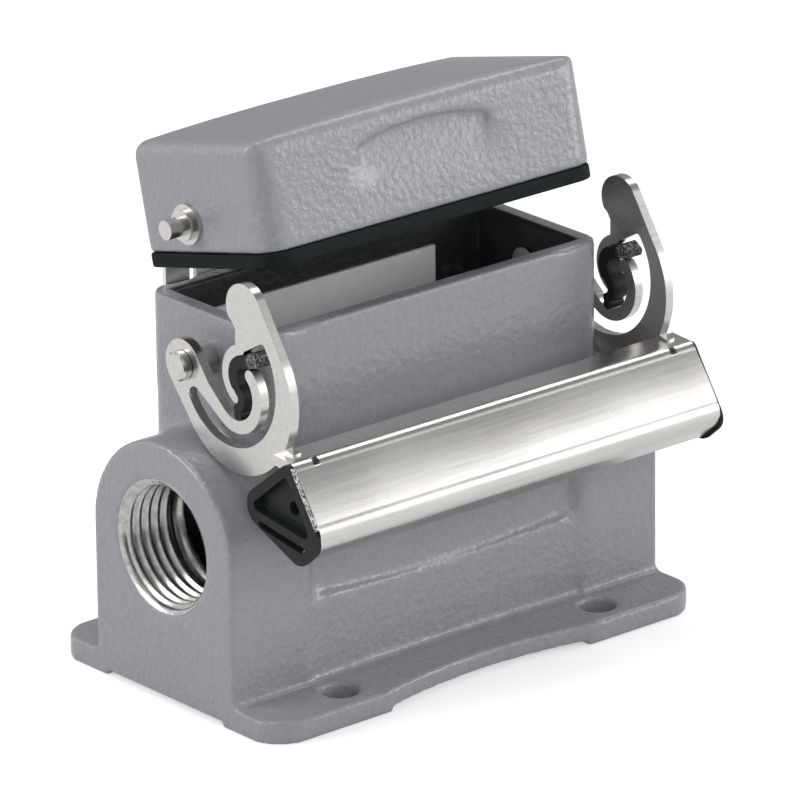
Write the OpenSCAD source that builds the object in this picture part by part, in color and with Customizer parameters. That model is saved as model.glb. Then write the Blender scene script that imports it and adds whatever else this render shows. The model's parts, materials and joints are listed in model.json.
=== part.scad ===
// Surface-mounting housing of a heavy duty rectangular connector, with a hinged
// protective cover and one locking lever.
// +X runs along the length, the threaded cable entry is at -X, the lever's handle
// is at -Y, the cover's hinge is at +Y, +Z is up and z = 0 is the mounting surface.
// Side outlines are drawn as [forward, up], where forward is -Y.

/* [Box] */
// Outside length of the box
box_l = 65.6; // [62:0.2:68]
// Outside width of the box
box_w = 28.8; // [27.6:0.2:31]
// Height of the rim above the mounting surface
rim_z = 59.35; // [57:0.05:61]
// Outside corner radius of the box
box_r = 3.2; // [3:0.1:5]
// Wall of the box
box_wall = 2.8; // [2.2:0.1:3]
// Thickness of the floor above the mounting surface
floor_t = 3.4; // [2.6:0.1:5]

/* [Lower body] */
// Length over the two end faces
body_l = 84.8; // [82:0.2:88]
// Width over the arched ends
body_w = 32.6; // [31.6:0.2:34]
// Height of the centre of the arches
arch_z = 24.6; // [22:0.2:26]
// Distance of the arches' inner ends from the middle
arch_in = 25.7; // [24:0.1:27]
// Length of the slope at the arches' inner ends
arch_slope = 1.2; // [0.6:0.1:2]
// Wall inside the blank arch
arch_wall = 3; // [2.4:0.1:4]
// Height of the ledge between the arches, at its ends
ledge_z = 16.9; // [14:0.1:19]
// Sag of the ledge in the middle
ledge_sag = 1.2; // [0.6:0.1:2]
// Step of the lower panel in front of the box, at its ends
panel_step = 1.3; // [0.8:0.1:1.6]
// How much the lower panel is hollowed in the middle
panel_hollow = 0.6; // [0.2:0.1:0.7]

/* [Flange] */
// Length of the mounting flange
flange_l = 85.6; // [83:0.2:90]
// Width of the mounting flange
flange_w = 52.8; // [51:0.2:58]
// Thickness of the flange
flange_t = 3.6; // [3:0.1:5]
// Corner radius of the flange
flange_r = 6.5; // [3:0.1:8]
// Half length of the waist in each long edge
waist_half = 21; // [18:0.5:22]
// Depth of the waist
waist_depth = 2.6; // [1:0.1:3]
// Distance between the mounting holes along the length
hole_x = 51.4; // [49:0.2:54]
// Distance between the mounting holes across the width
hole_y = 41.8; // [41.4:0.2:43]
// Diameter of a mounting hole
hole_d = 5.6; // [4:0.1:6]
// Depth of the relief between the four feet
foot_h = 0.75; // [0.4:0.05:1.2]
// Half length of the relief along the flange
relief_x = 19.5; // [16:0.5:22]
// Half width of the relief across the flange
relief_y = 13.8; // [10:0.2:16]

/* [Cable entry] */
// Diameter of the entry at the bottom of its thread
entry_d = 20; // [16:0.1:20.2]
// Diameter of the chamfer at the mouth
mouth_d = 21.2; // [20.4:0.1:22]
// Depth of the mouth's chamfer
mouth_depth = 0.7; // [0.4:0.1:2]

/* [Insert posts and plate] */
// Distance of the posts' centres from the middle
post_x = 25.2; // [24.8:0.1:26]
// Width of a post
post_w = 4; // [3.6:0.1:4.4]
// Depth of a post from the wall
post_d = 3.6; // [3.2:0.1:5]
// Height of the posts' tops below the rim
post_drop = 9.4; // [6:0.1:20]
// Diameter of the screw hole in a post
post_hole_d = 2.5; // [1.6:0.1:2.6]
// Depth of the screw hole in a post
post_hole_depth = 9; // [5:0.5:14]
// Length of the blank plate inside the rear wall
plate_l = 43.6; // [30:0.2:45]
// Height of the blank plate
plate_h = 7.5; // [5:0.1:9]
// Thickness of the blank plate
plate_t = 0.5; // [0.3:0.05:1]
// Distance of the blank plate's top below the rim
plate_drop = 4.8; // [3:0.1:8]
// Offset of the blank plate towards the cable entry
plate_off = 0.6; // [0:0.1:1]

/* [Lever] */
// Height of the lever's pivot
pivot_z = 52.3; // [51.5:0.1:53]
// Gap between the box's end wall and a lever arm
arm_gap = 3.3; // [3:0.1:4]
// Thickness of the lever's sheet
sheet_t = 1.5; // [1.2:0.1:2]
// Radius of the eye round the pivot
eye_r = 4; // [3.5:0.1:4.5]
// Diameter of the pivot journal
journal_d = 3.8; // [3:0.1:4.4]
// Diameter of the pivot stud's shoulder
shoulder_d = 5.4; // [4.6:0.1:6]
// Diameter of the pivot stud's head
head_d = 4.6; // [4.4:0.1:6]
// Thickness of the pivot stud's head
head_t = 1.35; // [0.8:0.05:2]
// Diameter of the stud's shank in the wall
shank_d = 3; // [2.4:0.1:3.4]
// Radius of the spring ring's outside
ring_r = 12.95; // [12.8:0.05:13.1]
// Radius of the rounded finger
finger_r = 3.9; // [3.6:0.1:4.1]
// Radius of the seat that takes the cover's peg
seat_r = 2.25; // [2:0.05:2.4]
// Width of the curled strip inside the ring
curl_w = 2; // [1.6:0.1:2.2]
// Outer radius of the curled strip
curl_r = 5.95; // [5.8:0.05:6.1]
// Width of the hooked strip
hook_w = 1.6; // [1.4:0.1:1.9]
// Outer radius of the hooked strip
hook_r = 5.05; // [4.9:0.05:5.2]
// Width of the plastic insert along the hook
insert_w = 1.95; // [1.4:0.05:2.1]
// How far an insert stands out of the arm's outer face
insert_out = 0.2; // [0.1:0.05:0.4]
// Whole thickness of an insert across the sheet
insert_t = 2.8; // [2:0.1:3.5]

/* [Handle] */
// How far the handle reaches past each arm
handle_over = 1.8; // [1.2:0.1:3]
// Outside bend radius at the handle's lower edge
lip_bend_r = 3; // [2.2:0.1:3.5]
// Length of the lip behind the lower bend
lip_l = 6.4; // [3.8:0.1:6.6]
// Outside bend radius at the handle's upper edge
top_bend_r = 2; // [1.8:0.1:2.6]
// Thickness of an end cap's outer plate
cap_plate_t = 0.55; // [0.4:0.05:1]
// Length of an end cap's plug inside the handle
cap_plug_l = 5; // [3:0.1:12]
// Depth of the pocket in an end cap
pocket_depth = 1.5; // [0.8:0.1:2.5]
// Diameter of the small hole in a cap's pocket
cap_hole_d = 2.2; // [1.4:0.1:3]

/* [Cover] */
// Length of the cover
cover_l = 64.8; // [62:0.1:66]
// Width of the cover
cover_w = 29.6; // [28:0.1:30]
// How far the cover's rear wall stands inside the box's
cover_in = 0.235; // [0:0.005:1]
// Height of the cover's metal at its ends
cover_h = 16.8; // [15:0.1:18]
// Rise of the arched top in the middle
cover_rise = 0.8; // [0.4:0.1:1.6]
// Radius of the cover's vertical corners in front
cover_r = 4.5; // [3.5:0.1:6]
// Radius of the cover's vertical corners at the hinge
cover_rear_r = 1.3; // [1:0.1:3]
// Radius of the cover's top edges
cover_top_r = 2.2; // [1:0.1:3]
// Wall of the cover
cover_wall = 2.2; // [2:0.1:2.8]
// Draft of the cover's front and end walls, over its height
cover_draft = 0.35; // [0.1:0.05:0.6]
// Thickness of the gasket below the cover's edge
gasket_t = 2.23; // [1.6:0.01:3]
// Width of the gasket
gasket_w = 3.4; // [3.1:0.1:4.2]
// Clearance between the closed gasket and the rim
seal_gap = 0.05; // [0.03:0.01:0.2]
// How far the cover stands open at rest
open_angle = 13.65; // [12:0.05:14.5]
// Height of the closed cover's lift when its rear edge rides up
rear_lift = 3.22; // [3:0.01:3.4]
// Forward shift of the cover's rear edge as it rides up
rear_shift = 0.215; // [0.15:0.005:0.25]
// Half width of the finger recess
recess_half = 12.8; // [10:0.2:15]
// Height of the finger recess in the middle
recess_h = 13.7; // [11:0.1:14.2]
// Depth of the finger recess at its top
recess_depth = 1.3; // [0.6:0.1:1.4]
// Height above the cover's edge at which the finger recess runs out
recess_low = 4; // [1:0.5:8]

/* [Pegs] */
// Distance of a peg's axis from the cover's rear edge
peg_s = 11.5; // [11:0.1:12]
// Height of a peg's axis above the cover's edge
peg_h = 4.6; // [4.3:0.1:5]
// Diameter of a locking peg
peg_d = 3; // [2.6:0.1:3.2]
// Diameter of the collar behind the peg
collar_d = 4.8; // [4:0.1:5.4]
// Diameter of the flange against the cover's wall
disc_d = 6.2; // [5.6:0.1:6.6]
// Distance from the cover's middle to a peg's tip
peg_tip = 37; // [36.5:0.1:37.3]

/* [Hinge] */
// Diameter of the hinge pin
pin_d = 2; // [1.6:0.1:2.2]
// Distance of the pin behind the cover's rear wall
pin_back = 3.2; // [3.1:0.05:3.4]
// Outside diameter of a hinge bush
bush_d = 3.4; // [3.2:0.1:3.6]
// Wall of a leaf's ear round its slot
ear_wall = 0.8; // [0.6:0.05:0.9]
// Thickness of the hinge leaf
leaf_t = 0.8; // [0.6:0.05:0.9]
// Height of the leaf's upper edge above the cover's edge
leaf_h = 9; // [8:0.1:11]
// Height of the leaf's lower edge above the cover's edge
leaf_low = 1.1; // [1:0.05:1.5]
// Thickness of a leaf's ear
ear_t = 1; // [0.8:0.1:1.2]
// Thickness of the hinge bracket
bracket_t = 0.8; // [0.6:0.05:0.9]
// Length of the hinge bracket
bracket_l = 58; // [53:0.5:59]
// Height of the bracket's top above the rim
bracket_up = 3.15; // [2.8:0.05:3.2]
// Height of the bracket's plate
bracket_h = 10.5; // [9:0.1:14]
// Distance of a bracket ear's outside from the middle
bracket_ear_x = 25.2; // [24:0.1:26]
// Radius of a bracket ear round the pin
bracket_ear_r = 2.2; // [1.9:0.1:2.3]
// Distance of the rivets from the middle
rivet_x = 12; // [8:0.5:18]
// Diameter of a rivet's shank
rivet_d = 2.4; // [2:0.1:3]
// Diameter of a rivet's head
rivet_head_d = 4.4; // [3.8:0.1:5]
// Thickness of a rivet's head
rivet_head_t = 0.8; // [0.5:0.1:1.2]

/* [Fits] */
// Radial clearance of shafts, pegs and rivets in their holes
fit = 0.05; // [0.03:0.01:0.08]
// Side clearance between moving sheets and heads
side_gap = 0.1; // [0.06:0.01:0.2]

/* [Hidden] */
$fn = 96;
over = 1;                                // how far a cut runs past a face
box_face = box_l / 2;                    // outer face of the box's end walls
arm_in = box_face + arm_gap;             // inner face of a lever arm
arm_out = arm_in + sheet_t;              // outer face of a lever arm
handle_end = arm_out + handle_over;      // end of the handle's sheet
inner_l = box_l - 2 * box_wall;
inner_w = box_w - 2 * box_wall;
pivot = [0, pivot_z];                    // lever pivot, forward and up
// The arm's arcs, all placed from the pivot
ring_c = pivot + [12.1, -0.7];
slot_c = pivot + [10.7, 1];
slot_r = 10.8;
finger_c = pivot + [14.3, 12.4];
seat_c = pivot + [10.1, 8.3];
curl_c = pivot + [12.2, -1.4];
hook_c = pivot + [14.3, 1.8];
hook_mid = hook_r - hook_w / 2;
hook_end = 240;                          // angle at which the hook's tip ends
hook_tip = hook_c + hook_mid * [cos(hook_end), sin(hook_end)];
slot_tip_r = 1.37;
slot_tip = pivot + [2.75, -4.05];
// The handle's section, from its upper bend to its lower bend
bar_top = pivot + [28, -8.3];
bar_low = pivot + [34.6, -18.2];
flange_back = pivot + [22.9, -7.3];
lip_dir = [-0.77, -0.64];
bar_end = bar_low + lip_l * lip_dir;
// Corners of the end cap: top, front, bottom and rear
cap_top = pivot + [26.9, -7.3];
cap_front = pivot + [34.5, -18.9];
cap_bottom = pivot + [29.5, -23.3];
cap_rear = pivot + [14.5, -17];
// The closed cover and its floating hinge
edge_z = rim_z + seal_gap + gasket_t;    // the cover's metal edge when it is closed
rear_y = box_w / 2 - cover_in;           // the cover's rear wall when it is closed
front_y = rear_y - cover_w;              // and its front wall at the edge
pin_y = rear_y + pin_back;
// At rest the rear edge stands rear_lift higher and rear_shift further back
pin_low = (pin_back * (1 - cos(open_angle)) - rear_shift) / sin(open_angle);
pin_z = edge_z + rear_lift - pin_back * sin(open_angle) + pin_low * cos(open_angle);
pin_high = pin_z - edge_z;
float_travel = pin_high - pin_low;
slot_half = bush_d / 2 + fit;
ear_out = bracket_ear_x - bracket_t - side_gap;
peg_y = rear_y - peg_s;
peg_z = edge_z + peg_h;
peg_seat = cover_l / 2 + 0.15;           // face of the flat pad under a peg
screw_z = rim_z - 3.9;                   // height of the bracket's screws
rivet_z = edge_z + 5.4;                  // height of the leaf's rivets
screw_depth = 2;                         // depth of a bracket screw in the wall

// ---------------------------------------------------------------- outlines

function unit(v) = v / norm(v);

// Arc of radius r in the corner at b, between the sides to a and to c
function corner_arc(a, b, c, r, n) =
    let (u = unit(a - b), v = unit(c - b), half = acos(u * v) / 2,
         m = b + unit(u + v) * r / sin(half),
         p = b + u * r / tan(half) - m,
         q = b + v * r / tan(half) - m,
         start = atan2(p.y, p.x),
         turn = (atan2(q.y, q.x) - start + 540) % 360 - 180)
    [for (i = [0:n]) m + r * [cos(start + turn * i / n), sin(start + turn * i / n)]];

// Closed outline through corners given as [x, y, radius]
function rounded(corners, n = 8) =
    [for (i = [0:len(corners) - 1])
        let (k = len(corners), here = corners[i], before = corners[(i + k - 1) % k],
             after = corners[(i + 1) % k], b = [here.x, here.y])
        each (here.z > 0
            ? corner_arc([before.x, before.y], b, [after.x, after.y], here.z, n)
            : [b])];

function corner(p, r) = [p.x, p.y, r];

// Point of the circle round c at angle a
function on_circle(c, r, a) = c + r * [cos(a), sin(a)];

// Two circles and the straight flanks that touch both
module linked_circles(c1, r1, c2, r2) {
    dir = atan2(c2.y - c1.y, c2.x - c1.x);
    swing = acos((r1 - r2) / norm(c2 - c1));
    translate(c1) circle(r1);
    translate(c2) circle(r2);
    polygon([on_circle(c1, r1, dir + swing), on_circle(c2, r2, dir + swing),
        on_circle(c2, r2, dir - swing), on_circle(c1, r1, dir - swing)]);
}

// Part of a ring between two angles, with a round end at each
module ring_strip(c, r_out, w, from, to) {
    mid = r_out - w / 2;
    steps = 12;
    far = 2 * r_out;
    intersection() {
        translate(c) difference() {
            circle(r_out);
            circle(r_out - w);
        }
        polygon(concat([c], [for (i = [0:steps]) on_circle(c, far, from + (to - from) * i / steps)]));
    }
    for (a = [from, to]) translate(on_circle(c, mid, a)) circle(w / 2);
}

module rounded_rect(l, w, r) {
    square([l - 2 * r, w], center = true);
    square([l, w - 2 * r], center = true);
    for (x = [-1, 1], y = [-1, 1])
        translate([x * (l / 2 - r), y * (w / 2 - r)]) circle(r);
}

// ---------------------------------------------------------------- placing

// A side outline [forward, up], extruded from x0 to x1
module from_side(x0, x1) {
    translate([x1, 0, 0]) rotate([90, 0, -90]) linear_extrude(x1 - x0) children();
}

// A front outline [x, up], extruded from y0 to y1
module from_front(y0, y1) {
    translate([0, y1, 0]) rotate([90, 0, 0]) linear_extrude(y1 - y0) children();
}

// A cylinder along X from x0 to x1, at [forward, up]
module rod_x(d, x0, x1, at) {
    translate([x0, -at.x, at.y]) rotate([0, 90, 0]) cylinder(h = x1 - x0, d = d);
}

// A cylinder along Y from y0 to y1
module rod_y(d, y0, y1, x, z) {
    translate([x, y1, z]) rotate([90, 0, 0]) cylinder(h = y1 - y0, d = d);
}

module left() { children(); }

module right() { mirror([1, 0, 0]) children(); }

// Moves a piece of the closed cover to where it rests
module at_rest(lift = float_travel) {
    translate([0, pin_y, pin_z]) rotate([-open_angle, 0, 0])
        translate([0, -pin_y, lift - pin_z]) children();
}

// ---------------------------------------------------------------- housing

module flange_outline() {
    bow = (pow(waist_half, 2) + pow(waist_depth, 2)) / (2 * waist_depth);
    difference() {
        rounded_rect(flange_l, flange_w, flange_r);
        for (y = [-1, 1])
            translate([0, y * (flange_w / 2 - waist_depth + bow)]) circle(bow, $fn = 360);
    }
}

// Arched section of the lower body
module arch_section(w) {
    translate([0, arch_z]) circle(d = w);
    translate([-w / 2, 0]) square([w, arch_z]);
}

// Plan of one arched end: a slope leads from the box to its full width
module arch_plan() {
    full = body_w / 2;
    flush = box_w / 2;
    polygon([[-body_l / 2, -full], [-arch_in - arch_slope, -full], [-arch_in, -flush],
        [-arch_in, flush], [-arch_in - arch_slope, full], [-body_l / 2, full]]);
}

// The lower panels between the arches, hollowed in plan, under a sagging ledge
module lower_panels() {
    face = box_w / 2 + panel_step;
    hollow_r = (pow(arch_in, 2) + pow(panel_hollow, 2)) / (2 * panel_hollow);
    sag_r = (pow(arch_in, 2) + pow(ledge_sag, 2)) / (2 * ledge_sag);
    intersection() {
        linear_extrude(ledge_z + over) difference() {
            square([2 * arch_in + arch_slope, 2 * face], center = true);
            for (y = [-1, 1])
                translate([0, y * (face - panel_hollow + hollow_r)]) circle(hollow_r, $fn = 720);
        }
        from_front(-face, face) difference() {
            translate([-box_face, 0]) square([box_l, ledge_z]);
            translate([0, ledge_z - ledge_sag + sag_r]) circle(sag_r, $fn = 720);
        }
    }
}

module post() {
    top = rim_z - post_drop;
    translate([post_x - post_w / 2, inner_w / 2 - post_d, floor_t - over / 2]) {
        cube([post_w, post_d + over, top - floor_t + over / 2]);
    }
}

module housing() {
    color([0.57, 0.58, 0.61]) difference() {
        union() {
            difference() {
                union() {
                    linear_extrude(flange_t) flange_outline();
                    linear_extrude(rim_z) rounded_rect(box_l, box_w, box_r);
                    for (turn = [0, 180]) rotate([0, 0, turn]) intersection() {
                        from_side(-body_l / 2, -arch_in) arch_section(body_w);
                        linear_extrude(rim_z) arch_plan();
                    }
                    lower_panels();
                }
                translate([0, 0, floor_t]) linear_extrude(rim_z)
                    square([inner_l, inner_w], center = true);
                // the blank end is hollow inside
                intersection() {
                    from_side(arch_in + arch_slope, body_l / 2 - arch_wall)
                        arch_section(body_w - 2 * arch_wall);
                    translate([0, -body_w, floor_t]) cube([body_l, 2 * body_w, rim_z]);
                }
            }
            for (x = [0, 1], y = [0, 1]) mirror([x, 0, 0]) mirror([0, y, 0]) post();
        }
        for (x = [-1, 1], y = [-1, 1]) {
            translate([x * hole_x / 2, y * hole_y / 2, -over]) cylinder(h = flange_t + 2 * over, d = hole_d);
            translate([x * post_x, y * (inner_w / 2 - post_d / 2), rim_z - post_drop - post_hole_depth])
                cylinder(h = post_hole_depth + over, d = post_hole_d);
        }
        // relief between the feet
        translate([-body_l, -relief_y, -over]) cube([2 * body_l, 2 * relief_y, over + foot_h]);
        translate([-relief_x, -body_l, -over]) cube([2 * relief_x, 2 * body_l, over + foot_h]);
        // cable entry
        rod_x(entry_d, -body_l / 2 - over, -inner_l / 2 + over, [0, arch_z]);
        translate([-body_l / 2, 0, arch_z]) rotate([0, 90, 0])
            cylinder(h = mouth_depth, d1 = mouth_d, d2 = entry_d);
        // holes for the lever's studs and the hinge bracket's screws
        for (x = [-1, 1]) {
            mirror([x > 0 ? 1 : 0, 0, 0])
                rod_x(shank_d + 2 * fit, -box_face - over, -inner_l / 2 + over, pivot);
            rod_y(rivet_d + 2 * fit, box_w / 2 - screw_depth - fit, box_w / 2 + over,
                x * rivet_x, screw_z);
        }
    }
}

// Blank plate riveted inside the rear wall
module blank_plate() {
    color([0.85, 0.85, 0.84])
    translate([-plate_off - plate_l / 2, inner_w / 2 - plate_t, rim_z - plate_drop - plate_h])
        cube([plate_l, plate_t, plate_h]);
}

// ---------------------------------------------------------------- lever

// Shouldered stud, riveted through the end wall; drawn along +Z from the wall
module pivot_stud() {
    shoulder = arm_gap - side_gap;
    journal = sheet_t + 2 * side_gap;
    tail_t = 0.6;
    color([0.78, 0.77, 0.75])
    translate([-box_face, 0, pivot_z]) rotate([0, -90, 0]) {
        translate([0, 0, -box_wall - tail_t]) cylinder(h = tail_t, d = shoulder_d);
        translate([0, 0, -box_wall]) cylinder(h = box_wall, d = shank_d);
        cylinder(h = shoulder, d = shoulder_d);
        translate([0, 0, shoulder]) cylinder(h = journal, d = journal_d);
        translate([0, 0, shoulder + journal]) cylinder(h = head_t - 0.3, d = head_d);
        translate([0, 0, shoulder + journal + head_t - 0.3])
            cylinder(h = 0.3, d1 = head_d, d2 = head_d - 0.6);
    }
}

module pivot_stud_left() { left() pivot_stud(); }

module pivot_stud_right() { right() pivot_stud(); }

// The spring arm: a ring that carries the hooked strip, and a strip from the eye
// that curls inside the ring
module arm_outline() {
    far = 20;
    eye_flank = on_circle(pivot, eye_r, 30);
    strip_top = pivot + [6, -1.3];
    fork = on_circle(curl_c, curl_r - curl_w, 230);
    block_low = pivot + [11.4, 4.2];
    block_high = pivot + [18.6, 8.3];
    strip_low = on_circle(curl_c, curl_r, 237);
    strip_start = pivot + [2.6, -2.35];
    neck = seat_c + [seat_r + 0.05, 0.9];
    // where the slot's round end meets the strip and the ring
    tip_high = slot_tip + slot_tip_r * [0.536, 0.844];
    tip_low = slot_tip + slot_tip_r * unit(slot_tip - slot_c);
    difference() {
        union() {
            linked_circles(pivot, eye_r, ring_c, ring_r);
            linked_circles(ring_c, ring_r, finger_c, finger_r);
        }
        // the slot inside the ring, under the block that carries the finger
        difference() {
            intersection() {
                translate(slot_c) circle(slot_r);
                polygon(rounded([
                    corner(block_low, 0),
                    corner(block_high, 1),
                    corner(block_high + [far, -far * 0.7], 0),
                    corner(pivot + [far, -far], 0),
                    corner(pivot + [-far, -far], 0),
                    corner(pivot + [-far, 4.2], 0)]));
            }
            polygon([eye_flank, strip_top, fork, strip_low, strip_start, pivot - [far, 0],
                pivot + [-far, far]]);
            difference() {
                polygon([tip_high, tip_low, tip_low - [far, far], pivot + [-far, far], tip_high + [0, far]]);
                translate(slot_tip) circle(slot_tip_r);
            }
        }
        // the mouth between the eye and the finger
        difference() {
            polygon(rounded([corner(pivot, 0), corner(eye_flank, 0), corner(strip_top, 8),
                corner(fork, 0), corner(curl_c, 0), corner(hook_c, 0), corner(neck - [0, 2.9], 0),
                corner(neck, 0), corner(finger_c, 0), corner(finger_c + [0, far], 0),
                corner(pivot + [-far, far], 0), corner(pivot - [far, 0], 0)]));
            translate(pivot) circle(eye_r);
            translate(finger_c) circle(finger_r);
        }
        translate(seat_c) circle(seat_r);
    }
    ring_strip(hook_c, hook_r, hook_w, 100, hook_end);
    ring_strip(curl_c, curl_r, curl_w, 225, 408);
}

// Section of the handle's sheet: top flange, sloping face and lower lip
module handle_section() {
    polygon(rounded([
        corner(flange_back, 0),
        corner(bar_top + [-0.6, 0.7], top_bend_r),
        corner(bar_low, lip_bend_r),
        corner(bar_end, 0),
        corner(bar_end + sheet_t * [lip_dir.y, -lip_dir.x] , 0),
        corner(bar_low + [-1.95, 0.32], lip_bend_r - sheet_t),
        corner(bar_top + [-1.35, -0.95], top_bend_r - sheet_t),
        corner(flange_back + [-0.25, -sheet_t], 0)]));
}

module lever_frame() {
    notch = [1.2, 1.7, 1.3];
    color([0.78, 0.77, 0.75]) difference() {
        union() {
            for (x = [-arm_out, arm_in]) from_side(x, x + sheet_t) {
                arm_outline();
                // tab that joins the arm to the handle's flange
                polygon([pivot + [20.6, -9.9], pivot + [23.4, -6.8], flange_back + [2.4, 0.1],
                    flange_back + [2, -sheet_t], flange_back + [0, -sheet_t]]);
            }
            from_side(-handle_end, handle_end) handle_section();
        }
        for (x = [-1, 1]) mirror([x > 0 ? 1 : 0, 0, 0]) {
            rod_x(journal_d + 2 * fit, -arm_out - over, -arm_in + over, pivot);
            // bend relief beside the arm
            translate([-arm_in + 0.3, -bar_top.x - 0.5, bar_top.y - 0.6]) cube(notch);
        }
    }
}

// S-shaped plastic insert that lines the hook
module hook_insert() {
    inner = hook_r - hook_w - fit;
    round_tip = hook_w / 2 + fit;
    tail_w = 1.5;
    color([0.13, 0.14, 0.15])
    from_side(-arm_out - insert_out, -arm_out - insert_out + insert_t) {
        ring_strip(hook_c, inner, insert_w, 115, 215);
        ring_strip(hook_tip, round_tip + tail_w, tail_w, -70, 60);
        translate(hook_tip + [0.7, -2.5]) circle(0.8);
        // head that fills the slot under the ring's block
        polygon(rounded([corner(pivot + [13, 2.9], 0), corner(pivot + [17.6, 4.15], 0.3),
            corner(pivot + [17.9, 5.1], 0.3), corner(pivot + [16.2, 6.25], 0.3),
            corner(pivot + [12.6, 4.3], 0)]));
    }
}

module hook_insert_left() { left() hook_insert(); }

module hook_insert_right() { right() hook_insert(); }

module cap_outline() {
    polygon(rounded([corner(cap_top, 1.2), corner(cap_front, 2.5),
        corner(cap_bottom, 3), corner(cap_rear, 3)]));
}

// The room behind the handle's sheet, where a cap's plug sits
module cap_room() {
    polygon(rounded([
        corner(flange_back + [-0.3, -sheet_t - fit], 0),
        corner(bar_top + [-1.4, -1], 0.5),
        corner(bar_low + [-2, 0.3], lip_bend_r - sheet_t),
        corner(bar_end + (sheet_t + fit) * [lip_dir.y, -lip_dir.x] + [-1, -0.8], 0),
        corner(cap_bottom + [-2, -3], 0),
        corner(cap_rear + [-4, -4], 0)]));
}

// End cap: a plug in the handle with a thin plate over the sheet's end
module handle_cap() {
    face = handle_end + fit + cap_plate_t;
    color([0.13, 0.14, 0.15]) difference() {
        union() {
            from_side(-face, -handle_end - fit) cap_outline();
            from_side(-handle_end - fit, -handle_end + cap_plug_l) difference() {
                intersection() {
                    cap_outline();
                    cap_room();
                }
                // keeps clear of the arm
                translate(ring_c) circle(ring_r + fit);
            }
        }
        from_side(-face - over, -face + pocket_depth) {
            polygon(rounded([corner(cap_top + [-0.5, -2.3], 0.8), corner(cap_front + [-2.2, 0.4], 1),
                corner(cap_rear + [3.3, 0.4], 0.8)]));
            // slot under the pocket's lower rib
            polygon(rounded([corner(cap_rear + [5.2, -1.2], 0.3), corner(cap_front + [-3.6, -0.9], 0.3),
                corner(cap_front + [-4.6, -1.9], 0.3), corner(cap_rear + [5.9, -2.3], 0.3)]));
        }
        rod_x(cap_hole_d, -face, -face + pocket_depth + 1.2, pivot + [26.6, -14.9]);
    }
}

module handle_cap_left() { left() handle_cap(); }

module handle_cap_right() { right() handle_cap(); }

// ---------------------------------------------------------------- hinge

// Plate on the rear wall with two ears that hold the pin
module hinge_bracket() {
    face = box_w / 2;
    top = rim_z + bracket_up;
    ear_in = bracket_ear_x - bracket_t;
    notch_w = ear_t + 3 * side_gap;
    notch_low = pin_z - float_travel - slot_half - ear_wall - 0.3;
    color([0.78, 0.77, 0.75]) difference() {
        union() {
            from_front(face, face + bracket_t)
                translate([-bracket_l / 2, top - bracket_h]) square([bracket_l, bracket_h]);
            for (x = [-bracket_ear_x, ear_in]) from_side(x, x + bracket_t) {
                translate([-pin_y, pin_z]) circle(bracket_ear_r);
                polygon([on_circle([-pin_y, pin_z], bracket_ear_r, 90), [-face - bracket_t, top],
                    [-face - bracket_t, top - bracket_h + 1],
                    on_circle([-pin_y, pin_z], bracket_ear_r, 200)]);
            }
        }
        for (x = [-1, 1]) mirror([x < 0 ? 1 : 0, 0, 0]) {
            rod_x(pin_d + 2 * fit, ear_in - over, bracket_ear_x + over, [-pin_y, pin_z]);
            // room for the leaf's ear
            translate([ear_in - notch_w, face - over, notch_low])
                cube([notch_w, bracket_t + 2 * over, top - notch_low + over]);
            rod_y(rivet_d + 2 * fit, face - over, face + bracket_t + over, rivet_x, screw_z);
        }
    }
}

module bracket_screws() {
    color([0.7, 0.7, 0.68]) for (x = [-rivet_x, rivet_x]) {
        rod_y(rivet_d, box_w / 2 - screw_depth, box_w / 2 + bracket_t, x, screw_z);
        rod_y(rivet_head_d, box_w / 2 + bracket_t, box_w / 2 + bracket_t + rivet_head_t, x, screw_z);
    }
}

module hinge_pin() {
    at = [-pin_y, pin_z];
    end = bracket_ear_x + fit;
    head_l = 0.8;
    color([0.7, 0.7, 0.68]) {
        rod_x(pin_d, -end, end, at);
        for (x = [-end - head_l, end]) rod_x(pin_d + 1.2, x, x + head_l, at);
    }
}

// Flanged bushes that turn on the pin and slide in the leaf's slots
module hinge_bushes() {
    at = [-pin_y, pin_z];
    inner = ear_out - ear_t - side_gap;
    flange_l = 1.2;
    color([0.25, 0.26, 0.27]) for (x = [-1, 1]) mirror([x < 0 ? 1 : 0, 0, 0]) difference() {
        union() {
            rod_x(bush_d, inner, ear_out + side_gap / 2, at);
            rod_x(bush_d + 1.2, inner - flange_l, inner, at);
        }
        rod_x(pin_d + 2 * fit, inner - 2 * flange_l, ear_out + over, at);
    }
}

// Sheet on the cover's rear wall with two slotted ears
module hinge_leaf() {
    low = edge_z + pin_low;
    high = edge_z + pin_high;
    color([0.78, 0.77, 0.75]) at_rest() difference() {
        union() {
            from_front(rear_y, rear_y + leaf_t)
                translate([-ear_out, edge_z + leaf_low]) square([2 * ear_out, leaf_h - leaf_low]);
            for (x = [-ear_out, ear_out - ear_t]) from_side(x, x + ear_t) {
                linked_circles([-pin_y, low], slot_half + ear_wall, [-pin_y, high], slot_half + ear_wall);
                translate([-pin_y, edge_z + leaf_low])
                    square([pin_back - leaf_t / 2, high - edge_z - leaf_low + slot_half + ear_wall]);
            }
        }
        for (x = [-1, 1]) {
            mirror([x < 0 ? 1 : 0, 0, 0]) from_side(ear_out - ear_t - over, ear_out + over)
                linked_circles([-pin_y, low - fit], slot_half, [-pin_y, high + fit], slot_half);
            rod_y(rivet_d + 2 * fit, rear_y - over, rear_y + leaf_t + over, x * rivet_x, rivet_z);
        }
    }
}

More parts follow.
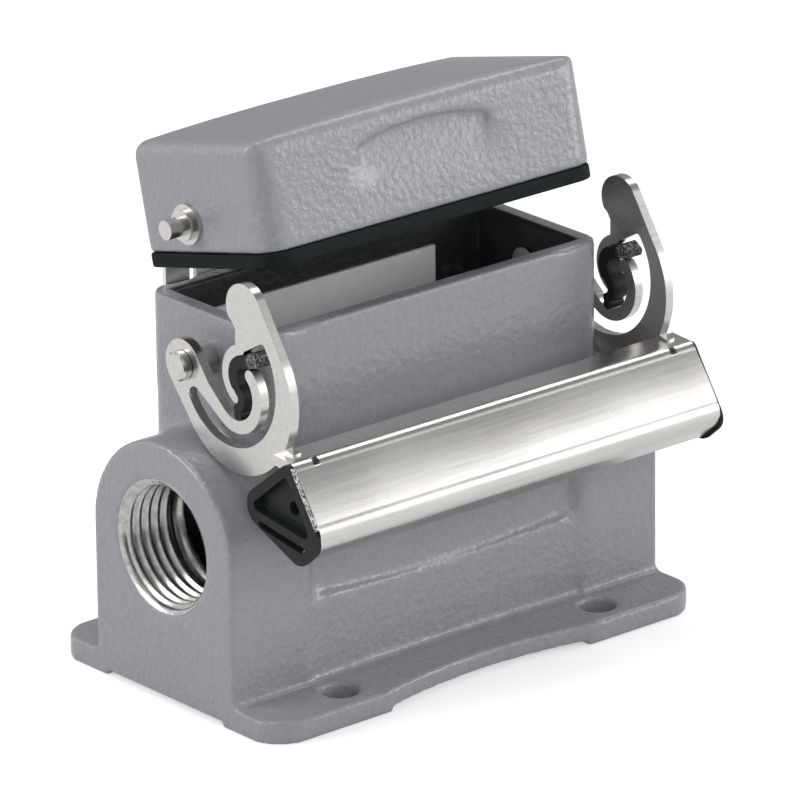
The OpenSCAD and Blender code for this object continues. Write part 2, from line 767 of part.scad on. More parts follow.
module leaf_rivets() {
    color([0.7, 0.7, 0.68]) at_rest() for (x = [-rivet_x, rivet_x]) {
        rod_y(rivet_d, rear_y - cover_wall, rear_y + leaf_t, x, rivet_z);
        rod_y(rivet_head_d, rear_y + leaf_t, rear_y + leaf_t + rivet_head_t, x, rivet_z);
        rod_y(rivet_head_d, rear_y - cover_wall - rivet_head_t, rear_y - cover_wall, x, rivet_z);
    }
}

// ---------------------------------------------------------------- cover

// Plan of the cover, shrunk by a wall all round
module cover_plan(wall) {
    half_l = cover_l / 2 - wall;
    low = front_y + wall;
    high = rear_y - wall;
    r = max(cover_r - wall, 1);
    s = max(cover_rear_r - wall, 0.5);
    for (x = [-1, 1]) {
        translate([x * (half_l - r), low + r]) circle(r);
        translate([x * (half_l - s), high - s]) circle(s);
    }
    translate([-half_l, low + r]) square([2 * half_l, high - s - low - r]);
    translate([-half_l + r, low]) square([2 * (half_l - r), high - s - low]);
    translate([-half_l + s, low + r]) square([2 * (half_l - s), high - low - r]);
}

// The cover's form, shrunk by a wall all round: plan, side and front outlines meet
module cover_form(wall) {
    half_l = cover_l / 2 - wall;
    front = -front_y - wall;
    rear = -rear_y + wall;
    top = edge_z + cover_h - wall;
    r = cover_top_r;
    steps = 10;
    arch_half = half_l - cover_draft - r;
    arch = [for (i = [-steps:steps]) let (x = i / steps) corner(
        [-x * arch_half, top + cover_rise * (1 - x * x)], 0)];
    intersection() {
        translate([0, 0, edge_z]) linear_extrude(cover_h + 2 * cover_rise) cover_plan(wall);
        from_side(-half_l - over, half_l + over) polygon(rounded([
            corner([front, edge_z - over], 0),
            corner([front - cover_draft, top + cover_rise], r + cover_rise),
            corner([rear, top + cover_rise], r + cover_rise),
            corner([rear, edge_z - over], 0)]));
        from_front(-front - over, -rear + over) polygon(rounded(concat(
            [corner([-half_l, edge_z - over], 0), corner([half_l, edge_z - over], 0),
             corner([half_l - cover_draft, top], r)],
            arch,
            [corner([-half_l + cover_draft, top], r)])));
    }
}

// Finger recess: deepest under its arched top, it runs out at the cover's edge
module finger_recess(inset) {
    front = -front_y;
    bow = (pow(recess_half, 2) + pow(1.7, 2)) / (2 * 1.7);
    half = recess_half + inset;
    high = recess_h + inset;
    intersection() {
        from_front(-front - over, 0) intersection() {
            translate([-half, edge_z - over]) square([2 * half, high + over]);
            translate([0, edge_z + high - bow - inset]) circle(bow + inset, $fn = 360);
        }
        from_side(-half, half) polygon([
            [front + over, edge_z + recess_low],
            [front - inset, edge_z + recess_low],
            [front - recess_depth - cover_draft - inset, edge_z + high],
            [front - recess_depth - cover_draft - inset, edge_z + high + over],
            [front + over, edge_z + high + over]]);
    }
}

module cover_shell() {
    color([0.57, 0.58, 0.61]) at_rest() difference() {
        union() {
            difference() {
                cover_form(0);
                difference() {
                    translate([0, 0, -0.01]) cover_form(cover_wall);
                    finger_recess(cover_wall - 0.3);
                }
            }
            // flat pads under the pegs
            for (x = [-1, 1]) mirror([x > 0 ? 1 : 0, 0, 0])
                rod_x(disc_d + 0.6, -peg_seat, -cover_l / 2 + cover_wall / 2, [-peg_y, peg_z]);
        }
        finger_recess(0);
        for (x = [-1, 1]) {
            mirror([x > 0 ? 1 : 0, 0, 0])
                rod_x(peg_d + 2 * fit, -peg_seat - over, -cover_l / 2 + cover_wall + over, [-peg_y, peg_z]);
            rod_y(rivet_d + 2 * fit, rear_y - cover_wall - over, rear_y + over, x * rivet_x, rivet_z);
            // flat seat inside for the peg's tail
            mirror([x > 0 ? 1 : 0, 0, 0])
                rod_x(collar_d + 2 * fit, -cover_l / 2 + cover_wall, -cover_l / 2 + cover_wall + over,
                    [-peg_y, peg_z]);
        }
    }
}

// Seal under the cover's edge, with a lip that stands inside the wall
module cover_gasket() {
    lip_t = 1;
    lip_h = 1.8;
    step = cover_wall + fit;
    color([0.1, 0.11, 0.12]) at_rest() {
        difference() {
            union() {
                translate([0, 0, edge_z - gasket_t]) linear_extrude(gasket_t)
                    cover_plan(0);
                translate([0, 0, edge_z - gasket_t / 2]) linear_extrude(gasket_t / 2 + lip_h)
                    cover_plan(step);
            }
            translate([0, 0, edge_z - gasket_t - over]) linear_extrude(gasket_t + lip_h + 2 * over)
                cover_plan(gasket_w);
        }
    }
}

// Turned peg riveted through the cover's end wall
module cover_peg() {
    wall_in = cover_l / 2 - cover_wall;
    disc_t = 0.55;
    collar_end = peg_tip - 3;
    tail_t = 0.6;
    at = [-peg_y, peg_z];
    color([0.78, 0.77, 0.75]) at_rest() {
        rod_x(collar_d, -wall_in, -wall_in + tail_t, at);
        rod_x(peg_d, -peg_tip, -wall_in, at);
        rod_x(disc_d, -peg_seat - disc_t, -peg_seat, at);
        rod_x(collar_d, -collar_end, -peg_seat, at);
    }
}

module cover_peg_left() { left() cover_peg(); }

module cover_peg_right() { right() cover_peg(); }

housing();
blank_plate();
pivot_stud_left();
pivot_stud_right();
lever_frame();
hook_insert_left();
hook_insert_right();
handle_cap_left();
handle_cap_right();
hinge_bracket();
bracket_screws();
hinge_pin();
hinge_bushes();
hinge_leaf();
leaf_rivets();
cover_shell();
cover_gasket();
cover_peg_left();
cover_peg_right();
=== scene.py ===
"""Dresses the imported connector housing: castings with rounded edges and hammered grey paint, spring
steel lever, black plastic and rubber, the bright tapped entry, on a pale floor in soft light.

+X runs along the length, the cable entry is at -X, the lever's handle at -Y, +Z is up. Metres."""
import json
import math

import bmesh
import bpy
import numpy as np
from mathutils import Matrix, Vector


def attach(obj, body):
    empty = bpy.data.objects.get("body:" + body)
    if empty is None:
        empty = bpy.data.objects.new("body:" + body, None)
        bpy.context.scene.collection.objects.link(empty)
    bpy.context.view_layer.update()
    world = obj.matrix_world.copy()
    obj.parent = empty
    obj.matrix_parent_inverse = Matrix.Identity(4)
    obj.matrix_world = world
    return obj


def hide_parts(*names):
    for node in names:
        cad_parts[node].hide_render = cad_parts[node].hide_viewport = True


MM = 0.001
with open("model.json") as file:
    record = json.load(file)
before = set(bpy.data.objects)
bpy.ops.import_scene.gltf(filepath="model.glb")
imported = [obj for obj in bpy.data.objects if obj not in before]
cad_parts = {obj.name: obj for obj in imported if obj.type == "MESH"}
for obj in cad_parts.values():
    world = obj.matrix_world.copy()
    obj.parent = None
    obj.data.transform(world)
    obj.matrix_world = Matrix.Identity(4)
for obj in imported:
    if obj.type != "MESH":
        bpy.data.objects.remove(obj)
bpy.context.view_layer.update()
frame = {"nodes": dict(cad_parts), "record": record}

# Places in mm: along from the middle, up from the mounting surface
BODY_END = 42.4                          # arched end faces
ARCH_Z = 24.6                            # axis of the entry
PIVOT_Z = 52.3                           # axis of the lever
HANDLE_END = 39.4                        # ends of the handle's sheet
GATE = (16.4, 57.2)                      # broken-off gate of a catch insert, forward and up
INNER_SHADE = (30.4, 12.0)                    # half length and half width of the box's cavity, whose walls get a painted shade


# ------------------------------------------------------------------ finishes

class Finish:
    """A procedural material on Object coordinates: patterns, stacked bumps and driven sockets."""

    def __init__(self, name, **surface):
        self.mat = bpy.data.materials.new(name)
        self.mat.use_nodes = True
        self.nodes, self.links = self.mat.node_tree.nodes, self.mat.node_tree.links
        self.shader = self.nodes["Principled BSDF"]
        for socket, value in surface.items():
            self.shader.inputs[socket.replace("_", " ")].default_value = value
        self.place = self.nodes.new("ShaderNodeTexCoord").outputs["Object"]
        self.normal = None

    def node(self, kind, links=(), **values):
        new = self.nodes.new("ShaderNode" + kind)
        for key, value in values.items():
            key = key.replace("_", " ")
            if key in new.inputs:
                new.inputs[key].default_value = value
            else:
                setattr(new, key.replace(" ", "_"), value)
        for socket, source in links:
            self.links.new(source, new.inputs[socket])
        return new

    def stretched(self, scale):
        """The Object coordinates, scaled per axis."""
        return self.node("Mapping", [("Vector", self.place)], Scale=scale).outputs["Vector"]

    def noise(self, scale, detail=2, rough=0.5, place=None):
        """Cloudy pattern, 0 to 1."""
        return self.node("TexNoise", [("Vector", place or self.place)], Scale=scale, Detail=detail,
                         Roughness=rough).outputs["Fac"]

    def cells(self, scale):
        """Round cells: the softened distance to the nearest of scattered points."""
        return self.node("TexVoronoi", [("Vector", self.place)], Scale=scale,
                         feature="SMOOTH_F1").outputs["Distance"]

    def span(self, source, low, high, to_low, to_high):
        """source from low..high carried to to_low..to_high, held at the ends."""
        return self.node("MapRange", [("Value", source)], From_Min=low, From_Max=high,
                         To_Min=to_low, To_Max=to_high).outputs["Result"]

    def bump(self, source, strength, distance):
        """One more bump on top of those already there."""
        new = self.node("Bump", [("Height", source)], Strength=strength, Distance=distance)
        if self.normal is not None:
            self.links.new(self.normal, new.inputs["Normal"])
        self.normal = new.outputs["Normal"]
        self.links.new(self.normal, self.shader.inputs["Normal"])

    def tint(self, source, dark, light):
        """Base colour from dark to light by source."""
        mix = self.node("Mix", [("Factor", source)], data_type="RGBA")
        mix.inputs[6].default_value, mix.inputs[7].default_value = (*dark, 1), (*light, 1)
        self.links.new(mix.outputs[2], self.shader.inputs["Base Color"])
        return mix

    def drive(self, socket, source):
        """One of the shader's sockets taken from source."""
        self.links.new(source, self.shader.inputs[socket])


def between(f, axis, half, soft=0.15):
    """1 where the distance from the middle along an axis is under half, in metres, else 0."""
    split = f.node("SeparateXYZ", [("Vector", f.place)])
    off = f.node("Math", [(0, split.outputs[axis])], operation="ABSOLUTE").outputs[0]
    return f.span(off, (half - soft) * MM, (half + soft) * MM, 1, 0)


def product(f, *sources):
    """All the sources multiplied."""
    value = sources[0]
    for other in sources[1:]:
        value = f.node("Math", [(0, value), (1, other)], operation="MULTIPLY").outputs[0]
    return value


def hammered_paint(name, dark, light, shade_halves=None):
    """Grey enamel with a hammered skin: round dimples over a finer orange peel. The last argument, if
    given, is the half length and half width of the box's cavity; within that plan the colour is
    painted near-black as the shade under the cover, and the skin is rougher."""
    f = Finish(name, Roughness=0.30, IOR=1.5, Coat_Weight=0.30, Coat_Roughness=0.09)
    dimples = f.cells(900)
    peel = f.noise(1150, 2, 0.55)
    grit = f.noise(2600, 2, 0.6)
    f.bump(dimples, 0.50, 0.00022)
    f.bump(peel, 0.75, 0.00024)
    f.bump(grit, 0.50, 0.00007)
    mix = f.tint(f.span(peel, 0.3, 0.7, 0, 1), dark, light)
    if shade_halves:
        # painted shade: within the cavity's plan the base colour turns near-black for the shadow
        # under the cover
        shade_mask = product(f, between(f, "X", shade_halves[0]), between(f, "Y", shade_halves[1]))
        inside = f.node("Mix", [("Factor", shade_mask)], data_type="RGBA")
        f.links.new(mix.outputs[2], inside.inputs[6])
        inside.inputs[7].default_value = (0.022, 0.025, 0.028, 1)
        f.links.new(inside.outputs[2], f.shader.inputs["Base Color"])
        f.drive("Roughness", f.span(shade_mask, 0, 1, 0.30, 0.55))
    return f.mat


def brushed_steel(name, low, high, grain, rough=0.27, metallic=1.0, cloud=0.03):
    """Rolled steel sheet: streaks along one axis and a soft cloudiness."""
    f = Finish(name, Metallic=metallic)
    streaks = f.noise(1.0, 4, 0.6, f.stretched(grain))
    clouds = f.noise(60, 2)
    f.tint(f.span(streaks, 0.25, 0.75, 0, 1), low, high)
    f.drive("Roughness", f.span(clouds, 0.3, 0.7, rough - cloud, rough + cloud))
    f.bump(streaks, 0.10, 0.00002)
    return f.mat


def torn_steel(name):
    """Cut edge of the sheet: its colour follows the relief, painted dark in the pits as shade and
    bright on the crests as highlight.
    """
    f = Finish(name, Metallic=1.0, Roughness=0.42)
    pits = f.noise(2300, 3, 0.7)
    # painted shade and highlight: the colour comes from the same relief as the bump
    f.tint(f.span(pits, 0.42, 0.58, 0, 1), (0.10, 0.10, 0.10), (0.85, 0.84, 0.82))
    f.bump(pits, 0.9, 0.0003)
    return f.mat


def moulded_black(name, dark, light, rough, grain, head=None, gloss=0.16):
    """Moulded plastic or rubber with a fine eroded skin; head is the side place of a broken-off
    gate, forward and up, that stays rough and pale."""
    f = Finish(name, Roughness=rough, Specular_IOR_Level=gloss)
    skin = f.noise(grain, 3, 0.6)
    mix = f.tint(f.span(skin, 0.3, 0.7, 0, 1), dark, light)
    f.bump(skin, 0.3, 0.00006)
    if head:
        near_y = f.node("VectorMath", [("Vector", f.place)], operation="MULTIPLY")
        near_y.inputs[1].default_value = (0, 1, 1)
        away = f.node("VectorMath", [(0, near_y.outputs[0])], operation="DISTANCE")
        away.inputs[1].default_value = (0, -head[0] * MM, head[1] * MM)
        spot = f.span(away.outputs["Value"], 0.0012, 0.0017, 1, 0)
        crumbs = f.span(f.noise(2600, 3, 0.7), 0.45, 0.6, 0, 1)
        pale = f.node("Mix", [("Factor", product(f, spot, crumbs))], data_type="RGBA")
        f.links.new(mix.outputs[2], pale.inputs[6])
        pale.inputs[7].default_value = (0.22, 0.22, 0.21, 1)
        f.links.new(pale.outputs[2], f.shader.inputs["Base Color"])
    return f.mat


GREY = (0.236, 0.240, 0.262), (0.262, 0.267, 0.291)
BLACK = (0.008, 0.010, 0.011), (0.016, 0.019, 0.020)
# the housing's paint carries a painted shade, near-black, inside its box
paint = hammered_paint("hammered_grey", *GREY, shade_halves=INNER_SHADE)
cover_paint = hammered_paint("hammered_grey_cover", *GREY)
spring_steel = brushed_steel("spring_steel", (0.57, 0.556, 0.538), (0.69, 0.675, 0.655),
                             (60, 1800, 1800))
zinc = brushed_steel("plain_zinc", (0.72, 0.72, 0.71), (0.82, 0.82, 0.81), (400, 400, 400), 0.4)
plate = brushed_steel("bright_sheet", (0.86, 0.85, 0.84), (0.94, 0.93, 0.92), (500, 60, 500),
                      0.45, 0.0)
thread_metal = brushed_steel("cut_metal", (0.34, 0.34, 0.33), (0.62, 0.62, 0.60), (900, 900, 900),
                             0.28)
torn = torn_steel("torn_edge")
plastic = moulded_black("moulded_plastic", *BLACK, 0.42, 1800)
insert_plastic = moulded_black("moulded_insert", *BLACK, 0.45, 1800, head=GATE)
rubber = moulded_black("moulded_rubber", BLACK[0], (0.013, 0.016, 0.017), 0.55, 1200, gloss=0.07)

FINISH = {
    "housing": paint, "cover_shell": cover_paint,
    "lever_frame": spring_steel, "pivot_stud_left": spring_steel, "pivot_stud_right": spring_steel,
    "cover_peg_left": spring_steel, "cover_peg_right": spring_steel,
    "hinge_bracket": zinc, "bracket_screws": zinc, "hinge_pin": spring_steel, "hinge_leaf": zinc,
    "leaf_rivets": zinc, "blank_plate": plate,
    "hook_insert_left": insert_plastic, "hook_insert_right": insert_plastic,
    "handle_cap_left": plastic, "handle_cap_right": plastic, "hinge_bushes": plastic,
    "cover_gasket": rubber,
}
BODY = {node: body for body, nodes in frame["record"]["behaviour"]["bodies"].items()
        for node in nodes}


# ------------------------------------------------------------------ pieces

def finished(name, mesh, body, material):
    """A piece at the origin, riding on its body, with its finish and slot."""
    piece = bpy.data.objects.new(name, mesh)
    bpy.context.scene.collection.objects.link(piece)
    mesh.materials.clear()
    mesh.materials.append(material)
    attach(piece, body)
    return piece


def merged(node, flat=0.4):
    """A copy of a solid's mesh with its doubles merged; areas flatter than flat degrees become
    single faces."""
    bm = bmesh.new()
    bm.from_mesh(frame["nodes"][node].data)
    bmesh.ops.remove_doubles(bm, verts=bm.verts, dist=2e-6)
    if flat:
        bmesh.ops.dissolve_limit(bm, angle_limit=math.radians(flat), verts=bm.verts, edges=bm.edges)
    fresh = bpy.data.meshes.new(node + "_merged")
    bm.to_mesh(fresh)
    bm.free()
    return fresh


def eased(node, width, segments=3, sharp=28):
    """A sheet or moulded part with every sharp edge rounded, standing for its node."""
    mesh = merged(node)
    mesh.shade_smooth()
    piece = finished(node + "_eased", mesh, BODY[node], FINISH[node])
    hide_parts(node)
    bevel = piece.modifiers.new("edges", "BEVEL")
    bevel.width, bevel.segments = width * MM, segments
    bevel.limit_method, bevel.angle_limit = "ANGLE", math.radians(sharp)
    bevel.use_clamp_overlap = True
    bevel.miter_outer = "MITER_ARC"
    shade = piece.modifiers.new("shading", "WEIGHTED_NORMAL")
    shade.keep_sharp, shade.weight = True, 60
    return piece


def relaxed(co, edges, rounds, hold=None, rate=0.5):
    """Each round moves every point towards the mean of its neighbours:
    p += rate * hold * (mean - p)."""
    count = len(co)
    a, b = edges[:, 0], edges[:, 1]
    degree = np.bincount(a, minlength=count) + np.bincount(b, minlength=count)
    pull = rate if hold is None else rate * hold[:, None]
    for _ in range(rounds):
        total = np.stack([np.bincount(a, co[b, k], count) + np.bincount(b, co[a, k], count)
                          for k in range(3)], -1)
        co = co + pull * (total / degree[:, None] - co)
    return co


def cast(node, voxel, rounds, softer=None, keep=None, half_length=None):
    """A die casting: the solid remeshed in even cells, then relaxed so that its edges and inner
    corners are rounded; softer is a list of (weight function, rounds) for places that are rounder,
    and half_length trims both ends flush."""
    raw = bpy.data.objects.new("raw", merged(node, 0))
    bpy.context.scene.collection.objects.link(raw)
    cells = raw.modifiers.new("cells", "REMESH")
    cells.mode, cells.voxel_size, cells.adaptivity = "VOXEL", voxel * MM, 0
    mesh = bpy.data.meshes.new_from_object(raw.evaluated_get(bpy.context.evaluated_depsgraph_get()))
    bpy.data.objects.remove(raw)
    co = np.empty(len(mesh.vertices) * 3)
    mesh.vertices.foreach_get("co", co)
    co = co.reshape(-1, 3)
    edges = np.empty(len(mesh.edges) * 2, int)
    mesh.edges.foreach_get("vertices", edges)
    edges = edges.reshape(-1, 2)
    if half_length:
        co[:, 0] = np.clip(co[:, 0], -half_length * MM, half_length * MM)
    co = relaxed(co, edges, rounds)
    for weight, more in softer or ():
        co = relaxed(co, edges, more, weight(co / MM))
    mesh.vertices.foreach_set("co", co.reshape(-1))
    mesh.shade_smooth()
    piece = finished(node + "_cast", mesh, BODY[node], FINISH[node])
    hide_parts(node)
    if keep:
        thin = piece.modifiers.new("fewer_faces", "DECIMATE")
        thin.ratio = keep
    return piece


def grid_mesh(name, points, closed_u=False, closed_v=False):
    """Quads over an array of points[u, v]; either direction may close on itself."""
    nu, nv = points.shape[:2]
    index = np.arange(nu * nv).reshape(nu, nv)
    iu = np.arange(nu if closed_u else nu - 1)
    iv = np.arange(nv if closed_v else nv - 1)
    a = index[iu][:, iv]
    b = index[(iu + 1) % nu][:, iv]
    c = index[(iu + 1) % nu][:, (iv + 1) % nv]
    d = index[iu][:, (iv + 1) % nv]
    quads = np.stack([a, b, c, d], -1).reshape(-1, 4)
    mesh = bpy.data.meshes.new(name)
    mesh.vertices.add(nu * nv)
    mesh.vertices.foreach_set("co", points.reshape(-1))
    mesh.loops.add(quads.size)
    mesh.loops.foreach_set("vertex_index", quads.reshape(-1))
    mesh.polygons.add(len(quads))
    mesh.polygons.foreach_set("loop_start", np.arange(0, quads.size, 4))
    mesh.update(calc_edges=True)
    mesh.shade_smooth()
    return mesh


def soft(value, width=1):
    """0 below 0, 1 above width, straight in between: the soft limit of a place."""
    return np.clip(value / width, 0, 1)


def near_arches(p):
    """1 in the corners between the arched ends and the box, 0 elsewhere."""
    x, z = np.abs(p[:, 0]), p[:, 2]
    corner = 33.4
    return soft(1.6 - np.abs(x - corner) / 1.6) * soft(z - 8, 4) * soft(46 - z, 3)


def near_slopes(p):
    """1 at the slopes between the arched ends and the lower panels, 0 elsewhere."""
    x, y, z = np.abs(p[:, 0]), np.abs(p[:, 1]), p[:, 2]
    slope = 26.3
    return soft(3.2 - np.abs(x - slope), 1.5) * soft(y - 13) * soft(z - 5, 2)


def near_recess(p):
    """1 over the cover's finger recess and just beside it, 0 elsewhere."""
    x, y, z = np.abs(p[:, 0]), p[:, 1], p[:, 2]
    half, front, foot = 16.5, -11.5, 74.2
    return soft(half - x, 1.5) * soft(front - y) * soft(z - foot, 2)


def beside_recess(p):
    """1 at the two upright sides of the finger recess, 0 elsewhere."""
    side, top = 13, 83
    off = np.abs(np.abs(p[:, 0]) - side)
    return near_recess(p) * soft(4.2 - off, 1.8) * soft(top - p[:, 2], 2)


for node, material in FINISH.items():
    for place in frame["nodes"][node].material_slots:
        place.material = material

cast("housing", 0.42, 3, [(near_arches, 36), (near_slopes, 26)], keep=0.40, half_length=BODY_END)
cast("cover_shell", 0.36, 10, [(near_recess, 40), (beside_recess, 160)], keep=0.6)
eased("lever_frame", 0.16, 2)
eased("cover_gasket", 0.35, 2)
eased("handle_cap_left", 0.2, 2)
eased("handle_cap_right", 0.2, 2)


def cable_thread(pitch=1.75, crest=9.12, root=9.92, bore=9.75, turns_end=9.4, sleeve=12.2):
    """The tapped entry as one closed sleeve round the axis. Going in, the inner radius falls along
    the mouth's chamfer, then follows a rounded saw r = crest + (root - crest) * |cos(pi s)|^1.6
    with s = depth / pitch - turn, fades into a plain bore, and ends at a land; the outside is
    buried."""
    around = np.linspace(0, 2 * np.pi, 161)[:-1]
    mouth_deep, mouth_r = [0, 0, 0.62], [10.50, 10.46, 9.90]
    land_deep, land_r = [10.9, 10.95, sleeve, sleeve, 0.3], [9.6, 8.9, 8.9, 10.3, 10.5]
    turns_deep = np.arange(0.75, turns_end, 0.09)
    deep = np.concatenate([mouth_deep, turns_deep, [turns_end + 0.3], land_deep])
    deep = deep[:, None]
    s = deep / pitch - around[None, :] / (2 * np.pi)
    wave = crest + (root - crest) * np.abs(np.cos(np.pi * s)) ** 1.6
    r = bore + (wave - bore) * soft(deep - 0.6, 0.5) * soft(turns_end - deep, 0.7)
    r[:3] = np.array(mouth_r)[:, None]
    r[-5:] = np.array(land_r)[:, None]
    at_x = -BODY_END + 0.16 + np.broadcast_to(deep, r.shape)
    points = np.stack([at_x, r * np.sin(around), ARCH_Z + r * np.cos(around)], -1) * MM
    mesh = grid_mesh("entry_thread", points, closed_u=True, closed_v=True)
    return finished("entry_thread", mesh, "housing", thread_metal)


def sloping_face(t, proud, crown=0):
    """Points [y, z] in mm down the handle's sloping face, t from 0 at its upper bend to 1 at its
    lower bend: the straight line between the bends plus proud + crown * 4 t (1 - t) along its
    normal."""
    upper, lower = np.array([27.95, -8.41]), np.array([33.07, -15.95])
    run = lower - upper
    normal = np.array([-run[1], run[0]]) / np.hypot(*run)
    side = upper + t[:, None] * run + (proud + crown * 4 * t * (1 - t))[:, None] * normal
    return np.stack([-side[:, 0], PIVOT_Z + side[:, 1]], -1)


def handle_face(crown=0.17, sunk=-0.025, buried=-0.4, count=25):
    """A crowned skin on the handle's sloping face: a closed flat tube, its outer half crowned with
    its long edges sunk in the sheet, its inner half buried; both ends close to a point."""
    t = np.linspace(0, 1, count)
    outer = sloping_face(t, np.full(count, sunk), crown)
    inner = sloping_face(t[::-1], np.full(count, buried))
    ring = np.concatenate([outer, inner])
    end = HANDLE_END - 0.02
    x = np.concatenate([[-end, -end, -end + 0.01], np.linspace(-end + 0.03, end - 0.03, 41),
                        [end - 0.01, end, end]])
    girth = np.ones(len(x))
    girth[0] = girth[-1] = 0
    centre = ring.mean(0)
    section = centre + (ring - centre) * girth[:, None, None]
    along = np.broadcast_to(x[:, None, None], section.shape[:2] + (1,))
    mesh = grid_mesh("handle_face", np.concatenate([along, section], -1) * MM, closed_v=True)
    return finished("handle_face", mesh, "lever", spring_steel)


def sheet_end(name, proud=0.015, count=90):
    """The torn end of the handle's sheet beside the left cap: a four-sided bar along the face, as
    wide as 0.62 + 0.12 of a sum of sines, so that its lower edge is ragged; both ends close."""
    t = np.linspace(-0.06, 1.05, count)
    wave = np.sin(41 * t) + 0.7 * np.sin(97 * t + 1) + 0.5 * np.sin(173 * t)
    ragged = 0.62 + 0.12 * wave / 2.2
    top, low = sloping_face(t, np.full(count, proud)), sloping_face(t, -ragged)
    inner, outer = -(HANDLE_END - 0.1), -(HANDLE_END + 0.565)
    corners = [(inner, top), (outer, top), (outer, low), (inner, low)]
    points = np.stack([np.concatenate([np.full((count, 1), x), yz], -1) for x, yz in corners], 1)
    points[0] = points[1].mean(0)
    points[-1] = points[-2].mean(0)
    mesh = grid_mesh(name, points * MM, closed_v=True)
    return finished(name, mesh, "lever", torn)


cable_thread()
handle_face()
sheet_end("sheet_end_left")


# ------------------------------------------------------------------ floor, light and camera

def floor_finish():
    """Pale floor that keeps the object's shadow; seen directly or in a reflection it is white."""
    mat = bpy.data.materials.new("pale_floor")
    mat.use_nodes = True
    nodes, links = mat.node_tree.nodes, mat.node_tree.links
    nodes.clear()
    ray = nodes.new("ShaderNodeLightPath")
    faint = nodes.new("ShaderNodeMath")
    faint.operation, faint.inputs[1].default_value = "MULTIPLY", 0.35
    links.new(ray.outputs["Is Glossy Ray"], faint.inputs[0])
    seen = nodes.new("ShaderNodeMath")
    seen.operation = "MAXIMUM"
    links.new(ray.outputs["Is Camera Ray"], seen.inputs[0])
    links.new(faint.outputs[0], seen.inputs[1])
    any_seen = nodes.new("ShaderNodeMath")
    any_seen.operation = "MAXIMUM"
    links.new(seen.outputs[0], any_seen.inputs[0])
    links.new(ray.outputs["Is Transmission Ray"], any_seen.inputs[1])
    matt = nodes.new("ShaderNodeBsdfDiffuse")
    matt.inputs["Color"].default_value = (0.72, 0.72, 0.72, 1)
    glow = nodes.new("ShaderNodeEmission")
    glow.inputs["Strength"].default_value = 0.46
    lift = nodes.new("ShaderNodeAddShader")
    links.new(matt.outputs[0], lift.inputs[0])
    links.new(glow.outputs[0], lift.inputs[1])
    mix = nodes.new("ShaderNodeMixShader")
    links.new(any_seen.outputs[0], mix.inputs[0])
    links.new(matt.outputs[0], mix.inputs[1])
    links.new(lift.outputs[0], mix.inputs[2])
    out = nodes.new("ShaderNodeOutputMaterial")
    links.new(mix.outputs[0], out.inputs["Surface"])
    return mat


def make_floor(radius=6.0, sides=96):
    """A disc at z = 0: a ring of points round its centre."""
    turn = np.linspace(0, 2 * np.pi, sides, endpoint=False)
    rim = np.stack([radius * np.cos(turn), radius * np.sin(turn), np.full(sides, -0.00002)], -1)
    mesh = bpy.data.meshes.new("floor")
    mesh.from_pydata(rim.tolist(), [], [list(range(sides))])
    mesh.materials.append(floor_finish())
    floor = bpy.data.objects.new("floor", mesh)
    bpy.context.scene.collection.objects.link(floor)


def make_world(light=0.23):
    """Even surroundings: plain light for matt faces, white where seen or mirrored, falling to grey
    overhead so that metal keeps its depth."""
    world = bpy.data.worlds.new("studio")
    bpy.context.scene.world = world
    world.use_nodes = True
    nodes, links = world.node_tree.nodes, world.node_tree.links
    background = nodes["Background"]
    background.inputs["Color"].default_value = (1, 1, 1, 1)
    ray = nodes.new("ShaderNodeLightPath")
    place = nodes.new("ShaderNodeTexCoord")
    split = nodes.new("ShaderNodeSeparateXYZ")
    links.new(place.outputs["Generated"], split.inputs[0])
    height = nodes.new("ShaderNodeMapRange")
    height.interpolation_type = "SMOOTHSTEP"
    for key, value in (("From Min", 0.36), ("From Max", 0.66), ("To Min", 1.0), ("To Max", 0.22)):
        height.inputs[key].default_value = value
    links.new(split.outputs["Z"], height.inputs["Value"])
    mirrored = nodes.new("ShaderNodeMix")
    mirrored.inputs["A"].default_value = light
    links.new(ray.outputs["Is Glossy Ray"], mirrored.inputs["Factor"])
    links.new(height.outputs["Result"], mirrored.inputs["B"])
    direct = nodes.new("ShaderNodeMath")
    direct.operation = "MAXIMUM"
    links.new(ray.outputs["Is Camera Ray"], direct.inputs[0])
    links.new(ray.outputs["Is Transmission Ray"], direct.inputs[1])
    seen = nodes.new("ShaderNodeMix")
    seen.inputs["B"].default_value = 1.0
    links.new(direct.outputs[0], seen.inputs["Factor"])
    links.new(mirrored.outputs["Result"], seen.inputs["A"])
    links.new(seen.outputs["Result"], background.inputs["Strength"])


def soft_lamp(name, at, width, height, facing, mirrored=True, aim=(0, 0, 0.035)):
    """A soft box turned to the object. facing is how bright it makes a white surface that
    faces it: power = facing * pi^2 * distance^2."""
    lamp = bpy.data.lights.new(name, "AREA")
    lamp.shape, lamp.size, lamp.size_y = "RECTANGLE", width, height
    reach = Vector(at) - Vector(aim)
    lamp.energy = facing * math.pi ** 2 * reach.length_squared
    holder = bpy.data.objects.new(name, lamp)
    bpy.context.scene.collection.objects.link(holder)
    holder.visible_glossy = mirrored
    turn = reach.to_track_quat("Z", "Y").to_matrix().to_4x4()
    holder.matrix_world = Matrix.Translation(at) @ turn


def card(name, tone, corners):
    """A grey card beside the set that only reflections see, as a flag in a studio."""
    mesh = bpy.data.meshes.new(name)
    mesh.from_pydata(corners, [], [(0, 1, 2, 3)])
    mat = bpy.data.materials.new(name)
    mat.use_nodes = True
    shader = mat.node_tree.nodes["Principled BSDF"]
    shader.inputs["Base Color"].default_value = (tone, tone, tone, 1)
    mesh.materials.append(mat)
    flag = bpy.data.objects.new(name, mesh)
    bpy.context.scene.collection.objects.link(flag)
    flag.visible_camera = flag.visible_diffuse = False
    flag.visible_shadow = flag.visible_transmission = False


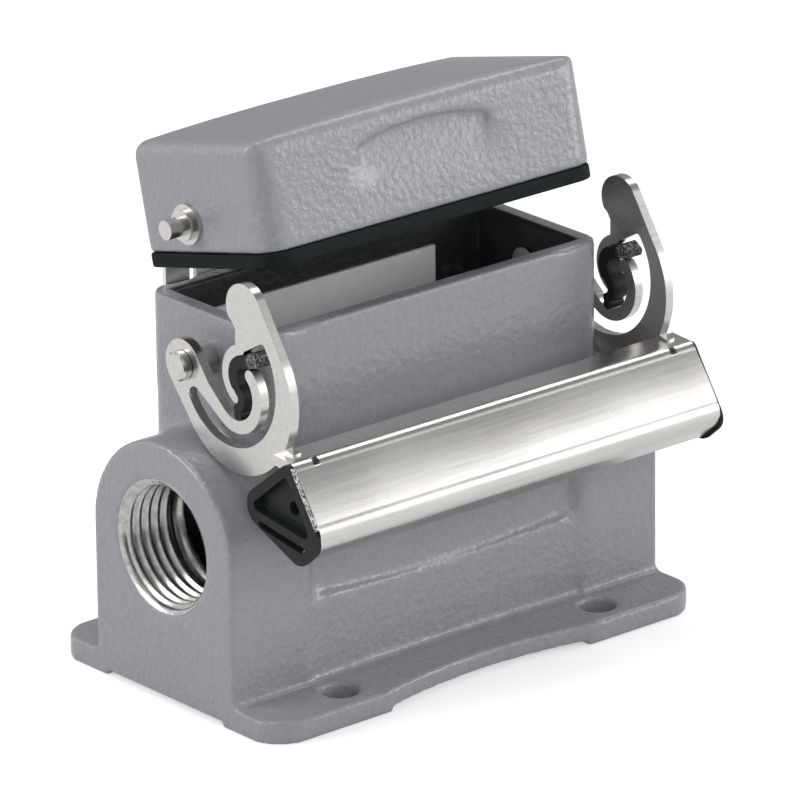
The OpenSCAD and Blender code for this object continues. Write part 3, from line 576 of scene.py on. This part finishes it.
def upright(azimuth, distance, half_width, height):
    """Corners of an upright card: azimuth 0 is at -Y, 90 at -X."""
    a = math.radians(azimuth)
    middle = Vector((-math.sin(a), -math.cos(a), 0)) * distance
    aside = Vector((math.cos(a), -math.sin(a), 0)) * half_width
    return [middle - aside, middle + aside, middle + aside + Vector((0, 0, height)),
            middle - aside + Vector((0, 0, height))]


def make_camera(azimuth=40.29, elevation=20.235, roll=-0.602, distance=1.19534,
                aim=(0.004395, 0, 0.036392), lens=354.75):
    """A long lens that looks down from the front left."""
    a, e, c = (math.radians(v) for v in (azimuth, elevation, roll))
    back = Vector((-math.sin(a) * math.cos(e), -math.cos(a) * math.cos(e), math.sin(e)))
    across = Vector((math.cos(a), -math.sin(a), 0))
    up = back.cross(across)
    right = across * math.cos(c) + up * math.sin(c)
    top = up * math.cos(c) - across * math.sin(c)
    camera = bpy.data.objects.new("camera", bpy.data.cameras.new("camera"))
    bpy.context.scene.collection.objects.link(camera)
    camera.data.lens, camera.data.sensor_width = lens, 36
    camera.data.clip_start, camera.data.clip_end = 0.01, 20
    turn = Matrix((right, top, back)).transposed().to_4x4()
    camera.matrix_world = Matrix.Translation(Vector(aim) + back * distance) @ turn
    bpy.context.scene.camera = camera


bpy.context.scene.view_settings.view_transform = "Standard"
make_floor()
make_world()
soft_lamp("right_low", (1.00, -0.76, 0.34), 0.50, 0.50, 0.24)
soft_lamp("right_box", (0.55, -0.85, 0.50), 1.00, 0.60, 0.26, mirrored=False)
soft_lamp("front_box", (-0.62, -0.80, 0.42), 0.50, 0.50, 0.30, mirrored=False)
soft_lamp("edge_box", (0.66, 0.06, 0.90), 0.26, 0.26, 0.10)
soft_lamp("left_box", (-0.95, 0.50, 0.60), 0.60, 0.60, 0.49)
soft_lamp("top_box", (0.0, 0.05, 1.00), 0.60, 0.60, 0.44)
card("front_flag", 0.02, upright(40, 0.80, 0.28, 0.75))
card("front_floor_flag", 0.02, [(-0.02, -0.14, 0.0004), (-0.14, -0.03, 0.0004),
                                (-0.80, -0.40, 0.0004), (-0.40, -0.80, 0.0004)])
card("rear_flag", 0.24, upright(217, 0.70, 0.60, 0.50))
make_camera()
